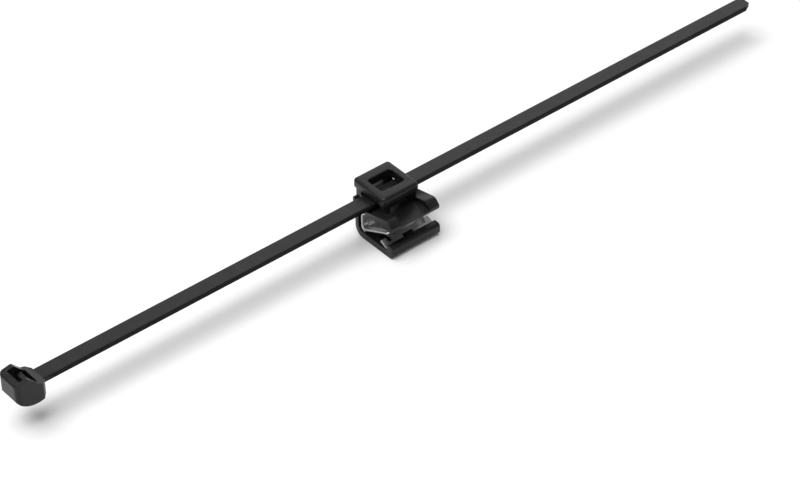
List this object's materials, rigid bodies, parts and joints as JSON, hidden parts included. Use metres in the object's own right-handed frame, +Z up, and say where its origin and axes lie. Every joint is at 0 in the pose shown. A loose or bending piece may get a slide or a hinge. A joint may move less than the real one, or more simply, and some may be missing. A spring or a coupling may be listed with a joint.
{
  "type": "solar cable clip",
  "caption": "Panel-edge cable clip: a moulded jaw with a steel gripping spring, and a cable tie threaded under its windowed saddle cap.",
  "frame": {"origin": "on the flat underside of the jaw, straight below the middle of the saddle where the tie crosses", "axes": "+X along the cable tie, from its head to its tip; +Z up, out through the saddle cap; the jaw opens towards -Y"},
  "size_m": [0.2518, 0.0187, 0.0155],
  "materials": {
    "black_nylon": "satin moulded",
    "spring_steel": "bright stamped sheet",
    "tie_nylon": "satin moulded"
  },
  "bodies": {
    "clip": {"clip_body": "black_nylon", "spring_insert": "spring_steel"},
    "tie": {"cable_tie": "tie_nylon"}
  },
  "joints": [
    {"name": "tie_slide", "type": "slide", "parent": "clip", "child": "tie", "axis": [1, 0, 0], "range_m": [-0.115, 0.1]}
  ]
}
